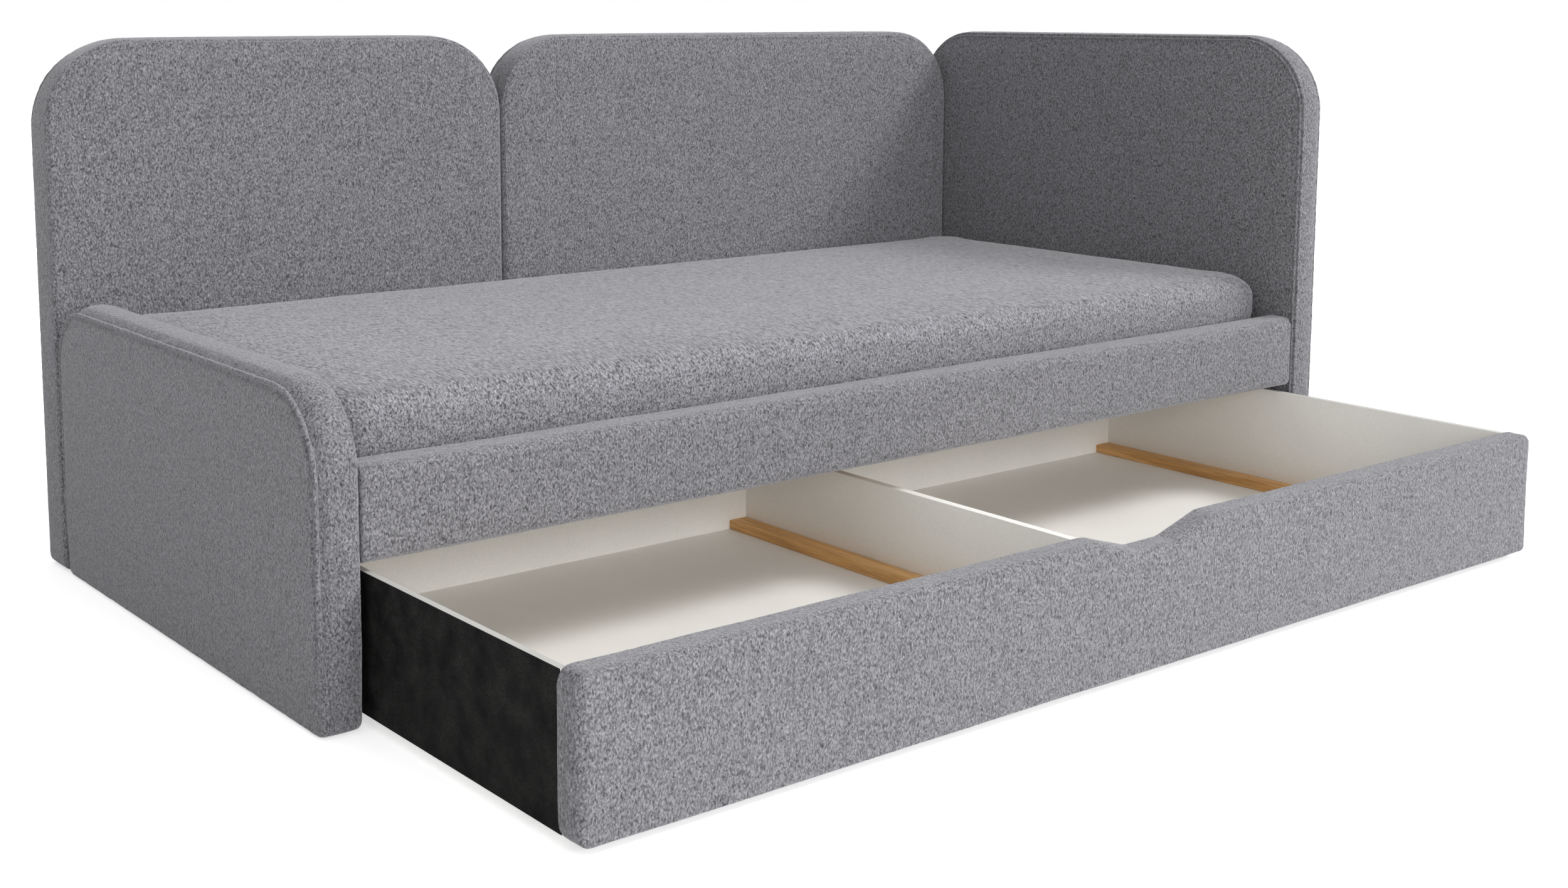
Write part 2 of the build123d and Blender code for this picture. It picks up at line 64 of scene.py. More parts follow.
# Distances between mesh points, for the piece itself and for its simulated copy
PANEL_STEP, PANEL_COARSE = 0.005, 0.045
DRAWN_STEP, DRAWN_COARSE = 0.006, 0.050
MATTRESS_STEP, MATTRESS_COARSE = 0.007, 0.050

# Features per metre in the meshes: tufts of the pile, lumps under it and slow swells
TUFTS = 150.0
PANEL_LUMPS, MATTRESS_LUMPS = 75.0, 85.0
PANEL_SWELLS, DRAWN_SWELLS, MATTRESS_SWELLS = 7.0, 8.0, 5.0


# Materials

def add_node(tree, kind, inputs=None, **settings):
    """Add a node, set its properties, and set or link its inputs."""
    made = tree.nodes.new(kind)
    for key, value in settings.items():
        setattr(made, key, value)
    for key, value in (inputs or {}).items():
        if isinstance(value, bpy.types.NodeSocket):
            tree.links.new(value, made.inputs[key])
        else:
            made.inputs[key].default_value = value
    return made


def new_material(name):
    """An empty node material with its principled shader and object coordinates."""
    material = bpy.data.materials.new(name)
    material.use_nodes = True
    tree = material.node_tree
    tree.nodes.clear()
    shader = add_node(tree, "ShaderNodeBsdfPrincipled")
    output = add_node(tree, "ShaderNodeOutputMaterial")
    tree.links.new(shader.outputs["BSDF"], output.inputs["Surface"])
    place = add_node(tree, "ShaderNodeTexCoord").outputs["Object"]
    return material, tree, shader, place


def scaled(tree, vector, scale):
    """Coordinates or a colour multiplied by a scale for each axis or channel."""
    made = add_node(tree, "ShaderNodeVectorMath", {0: vector, 1: scale}, operation="MULTIPLY")
    return made.outputs["Vector"]


def noise_at(tree, vector, scale, detail=2.0, roughness=0.5, distortion=0.0):
    """A noise texture at a scale of features per metre."""
    inputs = {
        "Vector": vector, "Scale": scale, "Detail": detail,
        "Roughness": roughness, "Distortion": distortion,
    }
    return add_node(tree, "ShaderNodeTexNoise", inputs)


def ramp(tree, factor, stops):
    """A colour ramp through stops of position and colour."""
    made = add_node(tree, "ShaderNodeValToRGB", {"Fac": factor})
    elements = made.color_ramp.elements
    while len(elements) < len(stops):
        elements.new(0.5)
    for element, (position, colour) in zip(elements, stops):
        element.position = position
        element.color = (*colour, 1.0)
    return made.outputs["Color"]


def math_node(tree, operation, first, second):
    """The value of a sum, product or the like of two values."""
    made = add_node(tree, "ShaderNodeMath", {0: first, 1: second}, operation=operation)
    return made.outputs["Value"]


def remap(tree, value, low, high, new_low, new_high):
    """A value moved from one range to another, held at its ends."""
    inputs = {
        "Value": value, "From Min": low, "From Max": high, "To Min": new_low, "To Max": new_high,
    }
    return add_node(tree, "ShaderNodeMapRange", inputs).outputs["Result"]


def tinted(tree, colour, factor):
    """A colour multiplied by a grey factor."""
    grey = add_node(tree, "ShaderNodeCombineXYZ", {"X": factor, "Y": factor, "Z": factor})
    return scaled(tree, colour, grey.outputs["Vector"])


def bumped(tree, shader, height, strength, distance):
    """Bump on a shader from a height, at a depth in metres."""
    inputs = {"Height": height, "Strength": strength, "Distance": distance}
    made = add_node(tree, "ShaderNodeBump", inputs)
    tree.links.new(made.outputs["Normal"], shader.inputs["Normal"])


# Greys of the boucle by height in its pile, from the ground of the pile to the tips of its loops:
# the loops' own grey, with painted shade darkening it towards the ground
YARN_AND_PILE_SHADE = (
    (0.05, (0.050, 0.049, 0.054)),
    (0.40, (0.165, 0.163, 0.175)),
    (0.70, (0.240, 0.237, 0.253)),
    (1.00, (0.400, 0.396, 0.420)),
)


def boucle_material(name, lie, fleck_scale, fleck_dark, cloud, light, sheen):
    """Short curly pile in a flecked cool grey, its flecks drawn out along the lie of the cloth."""
    material, tree, shader, place = new_material(name)
    nap = scaled(tree, place, lie)
    curl = noise_at(tree, nap, 110.0, 2.0).outputs["Color"]
    drift = add_node(
        tree, "ShaderNodeVectorMath", {0: curl, 1: (0.5, 0.5, 0.5)}, operation="SUBTRACT"
    )
    moved = add_node(
        tree,
        "ShaderNodeVectorMath",
        {0: drift.outputs["Vector"], 1: (0.007, 0.007, 0.007), 2: nap},
        operation="MULTIPLY_ADD",
    ).outputs["Vector"]
    pile = noise_at(tree, moved, 470.0, 4.0, 0.66, 0.8).outputs["Fac"]
    loops = add_node(
        tree,
        "ShaderNodeTexVoronoi",
        {"Vector": moved, "Scale": 340.0, "Smoothness": 0.35, "Randomness": 1.0},
        feature="SMOOTH_F1",
    ).outputs["Distance"]
    fleck = noise_at(tree, moved, fleck_scale, 3.0, 0.65).outputs["Fac"]
    patch = noise_at(tree, place, 80.0, 4.0, 0.6).outputs["Fac"]
    loop_height = remap(tree, loops, 0.1, 0.75, 1.0, 0.0)
    pile_height = remap(tree, pile, 0.28, 0.72, 0.0, 1.0)
    height = math_node(
        tree,
        "ADD",
        math_node(tree, "MULTIPLY", loop_height, 0.45),
        math_node(tree, "MULTIPLY", pile_height, 0.55),
    )
    # Painted shade: the grey darkens with depth into the pile.
    yarn_and_pile_shade = ramp(tree, height, [(stop, tuple(c * light for c in grey)) for stop, grey in YARN_AND_PILE_SHADE])
    dark_fleck = remap(tree, fleck, 0.48, 0.64, 1.0, fleck_dark)
    clouds = remap(tree, patch, 0.3, 0.7, 1 - cloud, 1 + cloud)
    shade = math_node(tree, "MULTIPLY", dark_fleck, clouds)
    tree.links.new(tinted(tree, yarn_and_pile_shade, shade), shader.inputs["Base Color"])
    shader.inputs["Roughness"].default_value = 0.93
    shader.inputs["Specular IOR Level"].default_value = 0.18
    shader.inputs["Sheen Weight"].default_value = sheen
    shader.inputs["Sheen Roughness"].default_value = 0.25
    shader.inputs["Sheen Tint"].default_value = (0.92, 0.92, 0.96, 1.0)
    bumped(tree, shader, height, 0.7, 0.0018)
    return material


GRAIN_DENSITY = 70.0
GRAIN_STRETCH = 0.05


def wood_material(name, grain_axis, dark, middle, light, roughness):
    """Planed wood with long grain along one axis, pores and slow colour drift."""
    material, tree, shader, place = new_material(name)
    scale = [GRAIN_DENSITY, GRAIN_DENSITY, GRAIN_DENSITY]
    scale[grain_axis] = GRAIN_DENSITY * GRAIN_STRETCH
    along = scaled(tree, place, scale)
    grain = noise_at(tree, along, 1.0, 6.0, 0.6, 1.4).outputs["Fac"]
    pores = noise_at(tree, scaled(tree, along, (6.0, 6.0, 6.0)), 1.0, 3.0, 0.7).outputs["Fac"]
    drift = noise_at(tree, place, 5.0, 2.0).outputs["Fac"]
    tone = remap(tree, grain, 0.25, 0.75, 0.0, 1.0)
    colour = ramp(tree, tone, [(0.0, dark), (0.5, middle), (1.0, light)])
    shade = math_node(
        tree,
        "MULTIPLY",
        remap(tree, pores, 0.3, 0.62, 0.80, 1.0),
        remap(tree, drift, 0.3, 0.7, 0.92, 1.08),
    )
    tree.links.new(tinted(tree, colour, shade), shader.inputs["Base Color"])
    worn = remap(tree, grain, 0.2, 0.8, roughness + 0.1, roughness - 0.08)
    tree.links.new(worn, shader.inputs["Roughness"])
    bumped(tree, shader, math_node(tree, "ADD", grain, pores), 0.16, 0.0006)
    return material


def speckled_material(
    name, colour, spread, scale, roughness, bump, cloud, cloud_spread, specular=0.4, painted_top_shade=1.0
):
    """A painted, moulded or laminated face: one colour with fine speckle, clouds and some tooth.
    With a top shade below 1, faces that look up are darker by that factor: painted shade on the top
    edges of the boards."""
    material, tree, shader, place = new_material(name)
    speck = noise_at(tree, place, scale, 3.0, 0.6).outputs["Fac"]
    clouds = noise_at(tree, place, cloud, 4.0, 0.55).outputs["Fac"]
    darker = tuple(c * (1 - spread) for c in colour)
    lighter = tuple(min(1, c * (1 + spread)) for c in colour)
    base = ramp(tree, speck, [(0.3, darker), (0.7, lighter)])
    shade = remap(tree, clouds, 0.3, 0.7, 1 - cloud_spread, 1 + cloud_spread)
    # Painted shade: faces that look up are darkened, for the shaded top edges of the boards.
    if painted_top_shade < 1.0:
        way = add_node(tree, "ShaderNodeTexCoord").outputs["Normal"]
        upward = add_node(tree, "ShaderNodeSeparateXYZ", {"Vector": way}).outputs["Z"]
        shade = math_node(tree, "MULTIPLY", shade, remap(tree, upward, 0.6, 0.9, 1.0, painted_top_shade))
    tree.links.new(tinted(tree, base, shade), shader.inputs["Base Color"])
    worn = remap(tree, clouds, 0.25, 0.75, roughness - 0.06, roughness + 0.06)
    tree.links.new(worn, shader.inputs["Roughness"])
    shader.inputs["Specular IOR Level"].default_value = specular
    bumped(tree, shader, speck, bump, 0.0004)
    return material


def chip_material(name):
    """Raw particle board: chips of several browns."""
    material, tree, shader, place = new_material(name)
    layers = scaled(tree, place, (1.0, 1.0, 2.2))
    chips = add_node(tree, "ShaderNodeTexVoronoi", {"Vector": layers, "Scale": 260.0})
    tone = noise_at(tree, chips.outputs["Color"], 3.0, 2.0).outputs["Fac"]
    browns = [(0.3, (0.30, 0.20, 0.11)), (0.5, (0.48, 0.35, 0.21)), (0.72, (0.62, 0.49, 0.32))]
    colour = ramp(tree, tone, browns)
    tree.links.new(colour, shader.inputs["Base Color"])
    tree.links.new(remap(tree, tone, 0.3, 0.7, 0.92, 0.78), shader.inputs["Roughness"])
    bumped(tree, shader, chips.outputs["Distance"], 0.3, 0.0006)
    return material


def zinc_material(name):
    """Zinc plate: bluish metal with spangle and fine scratches."""
    material, tree, shader, place = new_material(name)
    spangle = add_node(tree, "ShaderNodeTexVoronoi", {"Vector": place, "Scale": 420.0})
    tone = noise_at(tree, spangle.outputs["Color"], 2.0, 1.0).outputs["Fac"]
    scratch = noise_at(tree, scaled(tree, place, (900.0, 900.0, 60.0)), 1.0, 2.0).outputs["Fac"]
    colour = ramp(tree, tone, [(0.3, (0.52, 0.53, 0.55)), (0.7, (0.68, 0.69, 0.70))])
    tree.links.new(colour, shader.inputs["Base Color"])
    tree.links.new(remap(tree, scratch, 0.3, 0.7, 0.28, 0.48), shader.inputs["Roughness"])
    shader.inputs["Metallic"].default_value = 1.0
    bumped(tree, shader, scratch, 0.06, 0.0002)
    return material


LAMINATE_WHITE = (0.87, 0.857, 0.82)
LAMINATE = dict(spread=0.06, scale=600.0, roughness=0.42, bump=0.10, cloud=6.0, cloud_spread=0.02)
PINE = dict(
    dark=(0.48, 0.30, 0.14), middle=(0.66, 0.46, 0.25), light=(0.78, 0.60, 0.37), roughness=0.6
)

boucle = boucle_material(
    "boucle_grey", lie=(1.0, 1.0, 0.60),
    fleck_scale=400.0, fleck_dark=0.36, cloud=0.04, light=1.30, sheen=0.72,
)
# The mattress's greys are lighter than the panels': painted light for the brighter top of the
# mattress. Its flecks and lie are its own.
boucle_mattress_painted_light = boucle_material(
    "boucle_mattress_painted_light", lie=(1.0, 0.24, 0.75),
    fleck_scale=320.0, fleck_dark=0.30, cloud=0.08, light=1.54, sheen=0.66,
)
batten_wood = wood_material(
    "batten_stained", 1, dark=(0.51, 0.240, 0.074), middle=(0.78, 0.430, 0.150),
    light=(0.95, 0.600, 0.250), roughness=0.5,
)
pine_x = wood_material("pine_lengthwise", 0, **PINE)
pine_y = wood_material("pine_crosswise", 1, **PINE)
laminate = speckled_material("laminate_white", LAMINATE_WHITE, **LAMINATE)
# Laminate for the drawer's sides and back, with painted shade on their top edges.
laminate_with_top_shade = speckled_material("laminate_painted_top_shade", LAMINATE_WHITE, **LAMINATE, painted_top_shade=0.56)
facing = speckled_material(
    "black_facing", (0.0112, 0.0112, 0.0108), spread=0.60, scale=420.0, roughness=0.80,
    bump=0.30, cloud=24.0, cloud_spread=0.85, specular=0.06,
)
chip_board = chip_material("chip_board")
zinc = zinc_material("zinc_plate")
black_plastic = speckled_material(
    "black_plastic", (0.030, 0.030, 0.031), spread=0.15, scale=1500.0, roughness=0.45,
    bump=0.15, cloud=40.0, cloud_spread=0.12,
)
nylon = speckled_material(
    "wheel_nylon", (0.10, 0.10, 0.102), spread=0.12, scale=1200.0, roughness=0.38,
    bump=0.12, cloud=60.0, cloud_spread=0.10,
)


# Building structured surfaces

def rounded_outline(length, low, high, corner, foot, inset, counts):
    """Upright rounded rectangle drawn in by an inset, from the bottom left corner by the right.
    Top and bottom share the places of their straight runs. Gives points and outward directions."""
    shared, extra, side, arc_top, arc_foot = counts
    smallest = 0.5 * MM
    half = length / 2 - inset
    bottom, top = low + inset, high - inset
    top_round = max(corner - inset, smallest)
    foot_round = max(foot - inset, smallest)
    run = length / 2 - corner
    run_end = half - foot_round
    points, ways = [], []

    def line(start, end, count, way):
        for share in np.linspace(0, 1, count + 1)[1:]:
            points.append(tuple(a + share * (b - a) for a, b in zip(start, end)))
            ways.append(way)

    def arc(centre, radius, first, count):
        for angle in np.radians(np.linspace(first, first + 90, count + 1)[1:]):
            way = (math.cos(angle), math.sin(angle))
            points.append((centre[0] + radius * way[0], centre[1] + radius * way[1]))
            ways.append(way)

    line((-run_end, bottom), (-run, bottom), extra, (0, -1))
    line((-run, bottom), (run, bottom), shared, (0, -1))
    line((run, bottom), (run_end, bottom), extra, (0, -1))
    arc((run_end, bottom + foot_round), foot_round, -90, arc_foot)
    line((half, bottom + foot_round), (half, top - top_round), side, (1, 0))
    arc((half - top_round, top - top_round), top_round, 0, arc_top)
    line((run, top), (-run, top), shared, (0, 1))
    arc((-half + top_round, top - top_round), top_round, 90, arc_top)
    line((-half, top - top_round), (-half, bottom + foot_round), side, (-1, 0))
    arc((-run_end, bottom + foot_round), foot_round, 180, arc_foot)
    return np.array(points), np.array(ways)


def outline_counts(length, height, corner, foot, step):
    """How many points each stretch of an outline gets at a step."""
    return (
        max(4, round((length - 2 * corner) / step)),
        max(1, round((corner - foot) / step)),
        max(3, round((height - corner - foot) / step)),
        max(5, round(corner * math.pi / 2 / step)),
        max(3, round(foot * math.pi / 2 / step)),
    )


def along_outline(points):
    """Share of the way round for each point of a closed outline."""
    steps = np.linalg.norm(points - np.roll(points, 1, 0), axis=1)
    return np.cumsum(steps) / steps.sum()


# Outer lip of a panel, from the face over its crest to the border: inset and depth in millimetres
OUTER_LIP = (
    (11.0, 4.0), (9.0, 4.0), (7.6, 3.4), (6.4, 2.2), (5.0, 0.6), (3.4, -0.2), (1.6, 0.4),
    (0.4, 2.0), (0.2, 4.0), (1.2, 5.8), (3.0, 7.0), (4.8, 7.8), (4.6, 9.2), (3.2, 11.5),
)
LIP_TURN = 9 * MM
# Where the inner seam lies on the turn of the inner edge, and how near to it a ring is the seam
SEAM_DEGREES = 48
SEAM_NEAR = 2.1
# Rings on the faces of a panel: shares of the way to the middle, and insets from the edge
FACE_SHARES = (0.2, 0.38, 0.54, 0.7, 0.86, 1.0)
FACE_EDGE = 0.090
INNER_INSETS = (0.032, 0.046, 0.066, FACE_EDGE)
OUTER_INSETS = (0.016, 0.023, *INNER_INSETS)


def panel_profile(thickness, border, lip, groove, soft_edge, dome):
    """Rings across a boxed panel, from the middle of the outer face over the border to that of the
    inner face: share towards the middle, inset and depth, plain and sewn, and kind of each."""
    rings = []

    def ring(share, plain, sewn=None, kind="face"):
        rings.append((share, plain, sewn or plain, kind))

    def swell(depth):
        """How far the border swells between its seams at a depth."""
        share = np.clip((depth - LIP_TURN) / (thickness - 3 * MM), 0, 1)
        return dome * math.sin(math.pi * share) ** 0.75

    def bulge(along, centre, width):
        """A soft bump along the inner edge, in millimetres from its seam."""
        return math.exp(-(((along - centre) / width) ** 2))

    for share in reversed(FACE_SHARES):
        ring(share, (FACE_EDGE, FACE_IN))
    for inset in reversed(OUTER_INSETS):
        ring(0.0, (inset, FACE_IN))
    drop = 0.35 * dome
    for angle, (inset, depth) in zip(np.radians(np.linspace(0, 90, len(OUTER_LIP))), OUTER_LIP):
        plain = (
            border + LIP_TURN * (1 - math.sin(angle)),
            FACE_IN + LIP_TURN * (1 - math.cos(angle)),
        )
        raised = (
            plain[0] + lip * (inset * MM + drop - plain[0]),
            plain[1] + lip * (depth * MM - plain[1]),
        )
        ring(0.0, plain, raised, "lip")
    inner = thickness - FACE_IN / 2
    low, high = FACE_IN + LIP_TURN, inner - soft_edge
    for share in np.linspace(0, 1, 9)[1:]:
        depth = low + share * (high - low)
        plain = (border - 0.4 * border * math.sin(math.pi * share), depth)
        ring(0.0, plain, (plain[0] - swell(depth), depth), "border")
    centre = (border + soft_edge, high)
    for degrees in np.linspace(0, 90, 24)[1:]:
        angle = math.radians(degrees)
        along = soft_edge * math.radians(degrees - SEAM_DEGREES) / MM
        rise = 0.7 * bulge(along, -3.6, 2.0) + bulge(along, 3.6, 2.0)
        sewn_radius = soft_edge + groove * (rise - bulge(along, 0.0, 1.5))
        plain, sewn = (
            (centre[0] - radius * math.cos(angle), centre[1] + radius * math.sin(angle))
            for radius in (soft_edge, sewn_radius)
        )
        sewn = (sewn[0] - swell(plain[1]), sewn[1])
        ring(0.0, plain, sewn, "seam" if abs(degrees - SEAM_DEGREES) < SEAM_NEAR else "turn")
    for inset in INNER_INSETS:
        ring(0.0, (inset, inner))
    for share in FACE_SHARES:
        ring(share, (FACE_EDGE, inner))
    return rings


def seam_weights(points, ways, low, foot, side_share):
    """How strongly seams show round an outline: full on top, softer down the edges, none below."""
    height = points[:, 1] - low
    rise = np.clip((height - foot) / 0.10, 0, 1)
    rise = rise * rise * (3 - 2 * rise)
    upward = np.clip((ways[:, 1] + 0.15) / 0.7, 0, 1)
    return rise * (side_share + (1 - side_share) * upward)


def firm_foot(heights):
    """Heights above the bottom edge, pressed down near it, where a panel is stapled hard."""
    soft = 0.03
    return np.where(heights < soft, heights * (np.maximum(heights, 0) / soft) ** 0.7, heights)


def panel_points(size, profile, step, keep, side_share):
    """Points of a panel, ring by ring, in length, height and depth. Also the share of the way
    round, the length across the rings and how strongly the seams show."""
    length, low, high, corner, foot = size
    height = high - low
    counts = outline_counts(length, height, corner, foot, step)
    base, ways = rounded_outline(length, low, high, corner, foot, 0.0, counts)
    weight = seam_weights(base, ways, low, foot, side_share)[:, None]
    middle = (low + high) / 2
    reach = (length - height) / 2
    grid, spots = [], []
    for share, plain, sewn, _ in [profile[k] for k in keep]:
        flat, _ = rounded_outline(length, low, high, corner, foot, plain[0], counts)
        flat = flat - ways * (sewn[0] - plain[0]) * weight
        flat[:, 1] = low + firm_foot(flat[:, 1] - low)
        depth = plain[1] + (sewn[1] - plain[1]) * weight
        if reach >= 0:
            axis = np.stack([np.clip(flat[:, 0], -reach, reach), np.full(len(flat), middle)], 1)
        else:
            upright = np.clip(flat[:, 1], middle + reach, middle - reach)
            axis = np.stack([np.zeros(len(flat)), upright], 1)
        flat = flat + share * (axis - flat)
        grid.append(np.concatenate([flat, depth], 1))
        spots.append((plain[0] * (1 - share) - share * 0.3, plain[1]))
    spots = np.array(spots)
    lengths = np.r_[0, np.cumsum(np.linalg.norm(np.diff(spots, axis=0), axis=1))]
    return np.array(grid), along_outline(base), lengths, weight[:, 0]


def ring_faces(rows, columns):
    """Quads between closed rings."""
    faces = []
    for start in range(0, (rows - 1) * columns, columns):
        for column in range(columns):
            after = (column + 1) % columns
            above = start + columns
            faces.append((start + column, start + after, above + after, above + column))
    return faces


def closed_faces(rows, columns):
    """Quads between closed rings, with the first and the last ring each closed by a flat face."""
    last = (rows - 1) * columns
    caps = [tuple(reversed(range(columns))), tuple(range(last, last + columns))]
    return ring_faces(rows, columns) + caps


MERGE_DISTANCE = 2e-5
DEGENERATE = 1e-6


def make_object(name, points, faces, material):
    """A mesh object with shared end points merged, clean faces and outward normals."""
    data = bpy.data.meshes.new(name)
    data.from_pydata([tuple(p) for p in points], [], faces)
    edit = bmesh.new()
    edit.from_mesh(data)
    bmesh.ops.remove_doubles(edit, verts=edit.verts, dist=MERGE_DISTANCE)
    bmesh.ops.dissolve_degenerate(edit, edges=edit.edges, dist=DEGENERATE)
    bmesh.ops.recalc_face_normals(edit, faces=edit.faces)
    edit.to_mesh(data)
    edit.free()
    data.polygons.foreach_set("use_smooth", [True] * len(data.polygons))
    data.materials.append(material)
    made = bpy.data.objects.new(name, data)
    scene.collection.objects.link(made)
    return made


# Cloth that is blown up without gravity for a few frames
CLOTH = dict(
    quality=6, mass=0.3, tension_stiffness=25, compression_stiffness=25, shear_stiffness=10,
    bending_stiffness=4, air_damping=2, vertex_group_mass="held",
    use_pressure=True, uniform_pressure_force=4.0,
)
CLOTH_FRAMES = 20
WELD_DIGITS = 6


def inflate(points, faces, held, cap):
    """Blow up a coarse, welded copy as cloth, held at its seams, and give how far each point moved,
    at most about as far as the cap."""
    spots = np.round(points, WELD_DIGITS)
    _, first, same = np.unique(spots, axis=0, return_index=True, return_inverse=True)
    same = same.reshape(-1)
    merged = []
    for face in faces:
        corners = list(dict.fromkeys(int(same[k]) for k in face))
        if len(corners) > 2:
            merged.append(corners)
    data = bpy.data.meshes.new("inflating")
    data.from_pydata([tuple(points[k]) for k in first], [], merged)
    made = bpy.data.objects.new("inflating", data)
    scene.collection.objects.link(made)
    edit = bmesh.new()
    edit.from_mesh(data)
    bmesh.ops.recalc_face_normals(edit, faces=edit.faces)
    edit.to_mesh(data)
    edit.free()
    group = made.vertex_groups.new(name="held")
    group.add(sorted({int(same[k]) for k in held}), 1.0, "REPLACE")
    cloth = made.modifiers.new("cloth", "CLOTH")
    for key, value in CLOTH.items():
        setattr(cloth.settings, key, value)
    cloth.settings.effector_weights.gravity = 0
    cloth.collision_settings.use_collision = False
    cloth.point_cache.frame_start = 1
    cloth.point_cache.frame_end = CLOTH_FRAMES
    for step in range(1, CLOTH_FRAMES + 1):
        scene.frame_set(step)
    shape = made.evaluated_get(bpy.context.evaluated_depsgraph_get()).to_mesh()
    moved = np.zeros(len(shape.vertices) * 3)
    shape.vertices.foreach_get("co", moved)
    moved = (moved.reshape(-1, 3) - np.asarray(points)[first])[same]
    bpy.data.objects.remove(made)
    scene.frame_set(1)
    size = np.linalg.norm(moved, axis=1, keepdims=True)
    return moved * cap * np.tanh(size / cap) / np.maximum(size, 1e-9)


def spread_rows(values, places, new_places):
    """Values given along rows, read at new places along them."""
    flat = values.reshape(len(values), -1)
    read = np.stack([np.interp(new_places, places, column) for column in flat.T], 1)
    return read.reshape(len(new_places), *values.shape[1:])


def spread_round(values, places, new_places):
    """Values given round a closed outline, read at new places round it."""
    around = np.r_[places[-1] - 1, places, places[0] + 1]
    closed = np.concatenate([values[:, -1:], values, values[:, :1]], 1)
    return np.stack([spread_rows(row, around, new_places) for row in closed])


def wobble(points, scale, seed):
    """Smooth noise from -1 to 1 at points, with features of about one over scale metres."""
    shift = Vector((seed * 3.17, seed * 1.31, seed * 2.03))
    return np.array([noise.noise(Vector(p) * scale + shift) for p in points])


def point_normals(grid):
    """Outward direction at each point of a grid of closed rings, up to its sign."""
    along = np.gradient(grid, axis=0)
    around = (np.roll(grid, -1, 1) - np.roll(grid, 1, 1)) / 2
    normal = np.cross(along, around)
    return end_normals(normal / np.maximum(np.linalg.norm(normal, axis=2, keepdims=True), 1e-12))


def settled(values):
    """Values on a grid of rings, the first and last ring each moving as one: its points meet."""
    values = values.copy()
    for row in (0, -1):
        values[row] = values[row].mean(0)
    return values


def end_normals(normal):
    """Normals on a grid of rings, those of the first and last ring taken from the ring beside."""
    for row, beside in ((0, 1), (-1, -2)):
        mean = normal[beside].mean(0)
        normal[row] = mean / max(np.linalg.norm(mean), 1e-9)
    return normal


def fabric_piece(name, body, nodes, points, faces, cloth=boucle):
    """Finish an upholstered piece: fabric, body and the solids that it stands for."""
    made = make_object(name, points, faces, cloth)
    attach(made, body)
    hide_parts(*nodes)
    return made


# Upholstered panels

# Heights of the tufts and the slow swells, and how much of them the kinds of ring take
TUFT_HEIGHT = 0.8 * MM
PANEL_SWELL = 0.9 * MM
TUFT_SHARE = {"lip": 0.9, "border": 0.35, "turn": 0.35, "seam": 0.35, "face": 0.0}
SWELL_SHARE = {"lip": 0.15, "border": 0.15, "turn": 0.15, "seam": 0.15, "face": 0.7}


def simulated_rings(kinds):
    """The rings of a profile that the simulated copy keeps, and which of these are held."""
    every = range(len(kinds))
    lips, seams, borders, turns = (
        [k for k in every if kinds[k] == kind] for kind in ("lip", "seam", "border", "turn")
    )
    faces_outer = [k for k in every if k < lips[0]]
    faces_inner = [k for k in every if k > turns[-1]]
    crest, foot, seam = lips[4], lips[-3], seams[0]
    keep = (
        faces_outer[::2] + [faces_outer[-1], crest, foot] + borders[1::3]
        + [turns[2], seam, turns[-1]] + faces_inner[::2] + [faces_inner[-1]]
    )
    keep = sorted(set(keep))
    return keep, [keep.index(k) for k in (crest, foot, seam)]


def upholstered_panel(name, body, to_frame, size, thickness, form, seed):
    """A boxed panel with sewn edges, inflated a little as cloth, in the frame of the model."""
    profile = panel_profile(
        thickness, form["border"], form["lip"], form["groove"], form["soft_edge"], form["dome"]
    )
    kinds = [ring[3] for ring in profile]
    side_share = form["side_share"]
    grid, around, lengths, weight = panel_points(
        size, profile, PANEL_STEP, range(len(profile)), side_share
    )
    rows, columns = grid.shape[:2]
    keep, held_rows = simulated_rings(kinds)
    coarse, coarse_around, coarse_lengths, _ = panel_points(
        size, profile, PANEL_COARSE, keep, side_share
    )
    count = coarse.shape[1]
    held = [row * count + column for row in held_rows for column in range(count)]
    flat = to_frame(coarse.reshape(-1, 3))
    moved = inflate(flat, ring_faces(len(keep), count), held, form["crown"])
    moved = moved.reshape(len(keep), count, 3)
    moved = spread_rows(moved, coarse_lengths, lengths)
    moved = settled(spread_round(moved, coarse_around, around))
    on_edge = np.array([kind != "face" for kind in kinds])
    moved = moved * np.where(on_edge[:, None], weight[None, :], 1.0)[:, :, None]
    flat = to_frame(grid.reshape(-1, 3)) + moved.reshape(-1, 3)
    placed = flat.reshape(rows, columns, 3)
    rough = wobble(flat, TUFTS, seed).reshape(rows, columns)
    slow = wobble(flat, PANEL_SWELLS, seed + 5).reshape(rows, columns)
    lumps = wobble(flat, PANEL_LUMPS, seed + 9).reshape(rows, columns)
    shaggy = rough * TUFT_HEIGHT + lumps * form["lumps"]
    fuzz = np.array([TUFT_SHARE[kind] for kind in kinds])[:, None]
    calm = np.array([SWELL_SHARE[kind] for kind in kinds])[:, None]
    amount = fuzz * (0.35 + 0.65 * weight[None, :]) * shaggy + calm * slow * PANEL_SWELL
    placed = placed + point_normals(placed) * amount[:, :, None]
    nodes = (f"{name}_cover", f"{name}_padding")
    faces = ring_faces(rows, columns)
    return fabric_piece(f"{name}_upholstery", body, nodes, placed.reshape(-1, 3), faces)


def end_panel(name, side, corner, form, seed):
    """A panel across the end of the bed, on its left at side -1 and on its right at side 1."""
    low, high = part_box(f"{name}_cover")
    middle = (low.y + high.y) / 2
    outer = high.x if side > 0 else low.x

    def to_frame(points):
        return np.stack([outer - side * points[:, 2], middle + points[:, 0], points[:, 1]], 1)

    size = (high.y - low.y, low.z - FOOT_SAG, high.z, corner, FOOT_CORNER)
    return upholstered_panel(name, "bed_frame", to_frame, size, high.x - low.x, form, seed)


